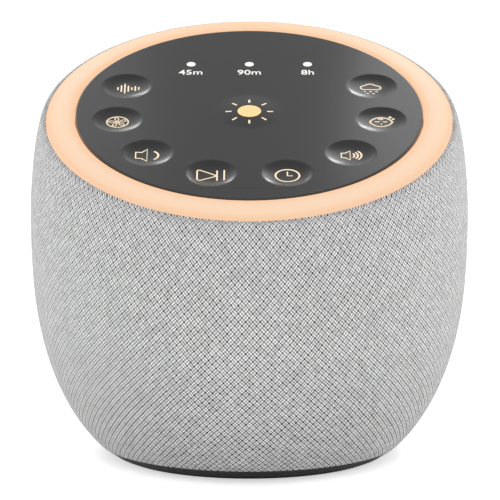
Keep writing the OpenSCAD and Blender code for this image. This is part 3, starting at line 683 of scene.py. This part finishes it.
def make_cap(name, height, edge, at, material):
    """Skin of one key, down to the panel's underside."""
    profile = [(edge * i / CAP_STEPS, height(edge * i / CAP_STEPS)) for i in range(CAP_STEPS + 1)]
    profile += [(edge, -PANEL_T), (0, -PANEL_T)]
    cap = spun(profile, HOLE_STEPS)
    set_on_top(cap, *at)
    finish_piece(cap, name + "_cap", material, None, 60)
    return cap


def bend_with_key(piece):
    """Bakes the piece's placement into its mesh."""
    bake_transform(piece)


def ring_points(r, steps, at=(0, 0)):
    return [(at[0] + r * math.cos(2 * math.pi * i / steps), at[1] + r * math.sin(2 * math.pi * i / steps))
            for i in range(steps)]


def outline_object(loops, half_height):
    """Flat plate from closed loops in millimetres: the first is its edge and the others are holes."""
    data = bpy.data.curves.new("outline", "CURVE")
    data.dimensions = "2D"
    data.fill_mode = "BOTH"
    data.extrude = half_height * MM
    for loop in loops:
        line = data.splines.new("POLY")
        line.points.add(len(loop) - 1)
        for point, (x, y) in zip(line.points, loop):
            point.co = (x * MM, y * MM, 0, 1)
        line.use_cyclic_u = True
    obj = bpy.data.objects.new("outline", data)
    bpy.context.collection.objects.link(obj)
    pick(obj)
    bpy.ops.object.convert(target="MESH")
    obj = bpy.context.object
    bpy.ops.object.mode_set(mode="EDIT")
    bpy.ops.mesh.select_all(action="SELECT")
    bpy.ops.mesh.remove_doubles(threshold=1e-6)
    bpy.ops.mesh.normals_make_consistent(inside=False)
    bpy.ops.object.mode_set(mode="OBJECT")
    return obj


def make_panel(material):
    """Dark panel with a soft outer edge, and a hole for each key's skin and for each timer light."""
    loops = [ring_points(PANEL_R, PANEL_STEPS)]
    loops += [ring_points(DISH_EDGE, HOLE_STEPS, key_at(i)) for i in range(len(KEYS))]
    loops += [ring_points(SPOT_EDGE, HOLE_STEPS)]
    loops += [ring_points(TIMER_R + 0.05, 32, (i * TIMER_PITCH, TIMER_V)) for i in (-1, 0, 1)]
    panel = outline_object(loops, PANEL_T / 2)
    panel.data.transform(Matrix.Translation((0, 0, -PANEL_T / 2 * MM)))
    pick(panel)
    bpy.ops.object.mode_set(mode="EDIT")
    bpy.ops.mesh.select_mode(type="EDGE")
    bpy.ops.mesh.select_all(action="DESELECT")
    bpy.ops.object.mode_set(mode="OBJECT")
    outer = (PANEL_R - 0.1) * MM
    longest = 1.5 * 2 * math.pi * PANEL_R / PANEL_STEPS * MM
    for edge in panel.data.edges:
        ends = [panel.data.vertices[i].co for i in edge.vertices]
        rim = all(p.z > -1e-5 and math.hypot(p.x, p.y) > outer for p in ends)
        edge.select = rim and (ends[0] - ends[1]).length < longest
    bpy.ops.object.mode_set(mode="EDIT")
    bpy.ops.mesh.bevel(offset=PANEL_SOFT * MM, segments=3, affect="EDGES")
    bpy.ops.object.mode_set(mode="OBJECT")
    set_on_top(panel)
    finish_piece(panel, "panel_skin", material, ROOT_BODY, 12)
    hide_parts("key_panel")


# ---------------------------------------------------------------- symbols

def stroke(points, closed=False, width=LINE):
    """Line of a symbol: a flattened round bead along points in millimetres."""
    data = bpy.data.curves.new("stroke", "CURVE")
    data.dimensions = "3D"
    data.bevel_depth = width / 2 * MM
    data.bevel_resolution = 1
    data.use_fill_caps = True
    line = data.splines.new("POLY")
    line.points.add(len(points) - 1)
    for point, (x, y) in zip(line.points, points):
        point.co = (x * MM, y * MM, 0, 1)
    line.use_cyclic_u = closed
    obj = bpy.data.objects.new("stroke", data)
    bpy.context.collection.objects.link(obj)
    pick(obj)
    bpy.ops.object.convert(target="MESH")
    return bpy.context.object


def arc(x, y, r, start, end, steps=16, squash=1.0):
    """Points on an arc, from one angle to another in degrees."""
    return [(x + r * math.cos(math.radians(lerp(start, end, i / steps))),
             y + r * squash * math.sin(math.radians(lerp(start, end, i / steps)))) for i in range(steps + 1)]


def circle(r, steps=40):
    return arc(0, 0, r, 0, 360 - 360 / steps, steps - 1)


def disc(r):
    """Filled round mark, with rings between its middle and its edge so that it can follow a dome."""
    half, rim = 0.12, 0.06
    rings = [r * i / 6 for i in range(6)] + [r - rim]
    profile = [(q, half) for q in rings] + [(r, 0)] + [(q, -half) for q in reversed(rings)]
    return spun(profile, 48)


def sound_icon():
    heights = [1.3, 3.2, 4.8, 2.9, 1.3, 2.4, 1.4]
    pitch = 0.86
    return [stroke([((i - 2.6) * pitch, -h / 2), ((i - 2.6) * pitch, h / 2)], width=0.37)
            for i, h in enumerate(heights)]


def fan_icon():
    parts = [stroke(circle(2.62), True, 0.32), stroke(circle(0.4, 16), True, 0.3)]
    for k in range(5):
        turn = math.radians(80 + 72 * k)
        blade = [(0.5, 0.05), (0.95, 0.75), (1.7, 1.05), (2.2, 0.7), (1.95, 0.2), (1.2, -0.05)]
        parts.append(stroke([(x * math.cos(turn) - y * math.sin(turn), x * math.sin(turn) + y * math.cos(turn))
                             for x, y in blade], True, 0.26))
    return parts


def speaker_outline(left, mid, right, low, high):
    return stroke([(left, -low), (mid, -low), (right, -high), (right, high), (mid, low), (left, low)], True, 0.42)


def volume_down_icon():
    return [speaker_outline(-2.9, -1.45, -0.15, 1.45, 2.9),
            stroke(arc(0.45, 0, 2.1, -60, 60, squash=1.05), width=0.48)]


def volume_up_icon():
    parts = [speaker_outline(-2.3, -1.4, -0.2, 1.1, 2.15)]
    for x, r in ((-0.3, 1.15), (-0.15, 1.85), (0.0, 2.55)):
        parts.append(stroke(arc(x, 0, r, -48, 48, squash=1.05), width=0.42))
    return parts


def play_pause_icon():
    play = [(-3.1, -2.35), (-2.6, -2.4), (0.9, -0.35), (1.05, 0), (0.9, 0.35), (-2.6, 2.4), (-3.1, 2.35),
            (-3.35, 2.0), (-3.35, -2.0)]
    bars = [stroke([(x, -2.35), (x, 2.35)], width=0.38) for x in (1.4, 3.1)]
    return [stroke(play, True, 0.38)] + bars


def clock_icon():
    return [stroke(circle(2.85), True, 0.42), stroke([(0, 1.85), (0, 0), (1.25, 0)], width=0.36)]


def lullaby_icon():
    """Sleeping face: one outline that is drawn out to an ear on each side, a curl, closed eyes and two sparks."""
    outline = []
    for x, y in arc(0, 0, 1, 0, 352.5, 47):
        outline.append((2.75 * x, 2.25 * math.copysign(abs(y) ** 1.5, y)))
    parts = [stroke(outline, True, 0.38)]
    for way in (-1, 1):
        eye = [(way * 0.95 + x, 0.35 - 0.2 * math.cos(x * math.pi)) for x in (-0.5, -0.25, 0, 0.25, 0.5)]
        parts.append(stroke(eye, width=0.36))
    parts.append(stroke([(-0.1, -0.95), (0.1, -0.95)], width=0.8))
    curl = [(-0.6, 1.95), (-0.4, 1.4), (0.1, 1.2), (0.45, 1.45), (0.2, 1.8), (-0.2, 1.7)]
    parts.append(stroke(curl, width=0.34))
    for x, y, size in ((2.25, 2.2, 0.5), (3.0, 1.35, 0.38)):
        parts.append(stroke([(x - size, y), (x + size, y)], width=0.28))
        parts.append(stroke([(x, y - size), (x, y + size)], width=0.28))
    return parts


def rain_icon():
    cloud = arc(-1.8, 0.45, 0.95, 260, 110, 10)
    cloud += arc(-0.35, 1.0, 1.35, 145, 30, 12)
    cloud += arc(1.3, 0.4, 0.95, 75, -80, 10)
    parts = [stroke(cloud, True, 0.36)]
    for y, places in ((-1.6, (-1.75, -0.3, 1.15)), (-2.65, (-1.05, 0.4))):
        for x in places:
            parts.append(stroke([(x - 0.04, y - 0.1), (x + 0.04, y + 0.1)], width=0.68))
    return parts


def sun_rays():
    rays = []
    for k in range(8):
        a = math.radians(45 * k)
        rays.append(stroke([(4.35 * math.cos(a), 4.35 * math.sin(a)), (5.85 * math.cos(a), 5.85 * math.sin(a))],
                           width=0.46))
    return rays


ICONS = [sound_icon, fan_icon, volume_down_icon, play_pause_icon,
         clock_icon, volume_up_icon, lullaby_icon, rain_icon]


def make_icon(name, parts, height, at, material, low):
    """Joins a symbol's parts, flattens them and lays them on the key's face, low millimetres below its middle."""
    icon = joined(parts)
    for v in icon.data.vertices:
        v.co.y -= low * MM
        r = math.hypot(v.co.x, v.co.y) / MM
        v.co.z = v.co.z * FLATTENED + (height(r) + ICON_LIFT) * MM
    set_on_top(icon, *at)
    finish_piece(icon, name, material, None, 60)
    return icon


def make_label(text, x, material):
    """Timer label below its light."""
    bpy.ops.object.text_add()
    obj = bpy.context.object
    obj.data.body = text
    obj.data.size = LABEL_SIZE * MM
    obj.data.align_x = "CENTER"
    obj.data.align_y = "CENTER"
    obj.data.extrude = 0.03 * MM
    obj.data.offset = 0.02 * MM
    obj.data.resolution_u = 4
    pick(obj)
    bpy.ops.object.convert(target="MESH")
    obj = bpy.context.object
    set_on_top(obj, x, TIMER_V - LABEL_BELOW, LABEL_LIFT)
    finish_piece(obj, "label_" + text, material, ROOT_BODY, 30)


def make_top():
    """Panel, keys, symbols and labels. Returns the material of the white marks."""
    skin = soft_touch("soft_touch_grey")
    line = lit("lit_line", colour(255, 234, 202), 0.96)
    fill = lit("lit_sun", colour(253, 217, 152), 0.93, 0.05)
    make_panel(skin)
    for i, name in enumerate(KEYS):
        cap = make_cap(name, dish_height, DISH_EDGE, key_at(i), skin)
        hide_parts(name)
        icon = make_icon(name + "_symbol", ICONS[i](), dish_height, key_at(i), line, ICON_LOW)
        for piece in (cap, icon):
            bend_with_key(piece)
    spot = make_cap("key_night_light", spot_height, SPOT_EDGE, (0, 0), skin)
    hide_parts("key_night_light")
    sun = make_icon("sun_symbol", [disc(2.9)], spot_height, (0, 0), fill, SUN_LOW)
    rays = make_icon("sun_rays_symbol", sun_rays(), spot_height, (0, 0), line, SUN_LOW)
    for piece in (spot, sun, rays):
        bend_with_key(piece)
    white = lit("lit_white", colour(250, 250, 246), 0.95)
    for text, i in (("45m", -1), ("90m", 0), ("8h", 1)):
        make_label(text, i * TIMER_PITCH, white)
    return white


# ---------------------------------------------------------------- CAD nodes

def dress_nodes(white):
    """Gives every CAD node the finish of its slot."""
    finishes = {
        "foot_rubber": moulded("foot_rubber", grey(34), 0.8, 900, 0.00004, 0.3),
        "base_black": moulded("base_black", grey(44), 0.55, 1800, 0.00002, 0.4),
        "screw_steel": metal("screw_steel", grey(190), 0.35),
        "inner_plastic": moulded("inner_plastic", grey(60), 0.6),
        "shell_plastic": moulded("shell_plastic", grey(70), 0.6),
        "sleeve_fabric": moulded("plain_cloth", grey(180), 0.9),
        "gasket_rubber": moulded("gasket_rubber", grey(36), 0.85, 700, 0.00006, 0.3),
        "surround_rubber": moulded("surround_rubber", grey(36), 0.6, 2000, 0.00001),
        "basket_steel": moulded("basket_steel", grey(50), 0.4, 1500, 0.00001),
        "ferrite": moulded("ferrite", grey(62), 0.7, 1200, 0.00003),
        "yoke_steel": metal("yoke_steel", grey(180), 0.4),
        "cone_paper": moulded("cone_paper", grey(44), 0.85, 500, 0.00006, 0.3),
        "coil_copper": metal("coil_copper", colour(196, 118, 66), 0.35),
        "spider_cloth": moulded("spider_cloth", colour(176, 140, 88), 0.9, 2200, 0.00005, 0.2),
        "frame_white": moulded("frame_white", grey(228), 0.5),
        "board_white": moulded("board_white", grey(232), 0.4, 2500, 0.00001),
        "lamp_white": moulded("lamp_white", colour(250, 232, 180), 0.3, 2500, 0.00001),
        "board_green": moulded("board_green", colour(22, 84, 48), 0.4, 2500, 0.00001),
        "chip_black": moulded("chip_black", grey(34), 0.45, 2500, 0.00001),
        "switch_metal": moulded("switch_metal", grey(150), 0.45, 2500, 0.00001),
        "socket_steel": metal("socket_steel", grey(200), 0.22),
        "lead_black": moulded("lead_black", grey(30), 0.5, 1500, 0.00001),
        "lead_red": moulded("lead_red", colour(150, 30, 24), 0.5, 1500, 0.00001),
        "panel_grey": moulded("panel_back", grey(62), 0.5),
        "key_silicone": moulded("key_back", grey(62), 0.5),
        "timer_lens": white,
        "ring_diffuser": glowing_ring("glowing_ring"),
    }
    slots = {part["node"]: part["material_slot"] for part in frame["record"]["subparts"]}
    for node, obj in frame["nodes"].items():
        obj.data.materials.clear()
        obj.data.materials.append(finishes[slots[node]])


# ---------------------------------------------------------------- studio

def add_camera():
    bpy.ops.object.camera_add(location=CAMERA_AT, rotation=(math.pi / 2 - CAMERA_DOWN, 0, 0))
    camera = bpy.context.object
    camera.data.lens = LENS
    camera.data.sensor_width = 36
    camera.data.clip_start = 0.01
    camera.data.clip_end = 20
    bpy.context.scene.camera = camera


def add_lamp(name, at, aim, size, power):
    """Soft box that faces a point."""
    turn = (Vector(aim) - Vector(at)).to_track_quat("-Z", "Y").to_euler()
    bpy.ops.object.light_add(type="AREA", location=at, rotation=turn)
    lamp = bpy.context.object
    lamp.name = name
    lamp.data.shape = "RECTANGLE"
    lamp.data.size, lamp.data.size_y = size
    lamp.data.energy = power


def add_floor():
    """White table top that fades into the white behind it, and keeps the shadow."""
    bpy.ops.mesh.primitive_plane_add(size=6, location=(0, 0, 0))
    floor = bpy.context.object
    floor.name = "table_top"
    m = Shader("table_white")
    shown = m.nodes.new("ShaderNodeLightPath").outputs["Is Camera Ray"]
    m.set(base_color=grey(248), roughness=0.9, specular=0.1)
    m.set(emission_color=(1, 1, 1, 1), emission_strength=m.math("MULTIPLY", shown, 0.47))
    floor.data.materials.append(m.material)


def add_world():
    """Even white surroundings for the camera; as light they are bright at the horizon and dim overhead."""
    world = bpy.data.worlds.new("studio")
    bpy.context.scene.world = world
    world.use_nodes = True
    nodes, links = world.node_tree.nodes, world.node_tree.links
    back = nodes["Background"]
    path = nodes.new("ShaderNodeLightPath")
    split = nodes.new("ShaderNodeSeparateXYZ")
    links.new(nodes.new("ShaderNodeTexCoord").outputs["Generated"], split.inputs[0])
    fall = nodes.new("ShaderNodeMapRange")
    fall.interpolation_type = "SMOOTHSTEP"
    for socket, value in zip(list(fall.inputs)[1:5], (HORIZON_Z, ZENITH_Z, HORIZON_LIGHT, ZENITH_LIGHT)):
        socket.default_value = value
    links.new(split.outputs[2], fall.inputs[0])
    choose = nodes.new("ShaderNodeMix")
    links.new(path.outputs["Is Camera Ray"], choose.inputs[0])
    links.new(fall.outputs[0], choose.inputs[2])
    choose.inputs[3].default_value = 1
    links.new(choose.outputs[0], back.inputs["Strength"])
    back.inputs["Color"].default_value = (1, 1, 1, 1)


def light_studio():
    """Soft boxes beside and in front, and small lamps that draw a light rim round the near side of each dish."""
    aim = (0, 0, 0.055)
    add_lamp("left_box", (-0.9, 0.35, 0.27), aim, (0.5, 0.5), 3.3)
    add_lamp("right_box", (0.9, 0.35, 0.27), aim, (0.5, 0.5), 3.85)
    add_lamp("front_fill", (0, -1.2, 0.21), aim, (1.6, 0.4), 3.9)
    add_lamp("left_near", (-0.060, 0.092, 0.208), (-0.042, 0, 0.09), (0.06, 0.06), 0.0045)
    add_lamp("right_near", (0.060, 0.092, 0.208), (0.042, 0, 0.09), (0.06, 0.06), 0.015)
    add_lamp("left_back", (-0.125, 0.3, 0.262), (-0.03, 0, 0.09), (0.14, 0.06), 0.12)
    add_lamp("right_back", (0.125, 0.3, 0.262), (0.03, 0, 0.09), (0.14, 0.06), 0.18)
    add_world()
    add_floor()


bpy.context.scene.view_settings.view_transform = "Standard"
add_camera()
light_studio()
make_sleeve()
dress_nodes(make_top())
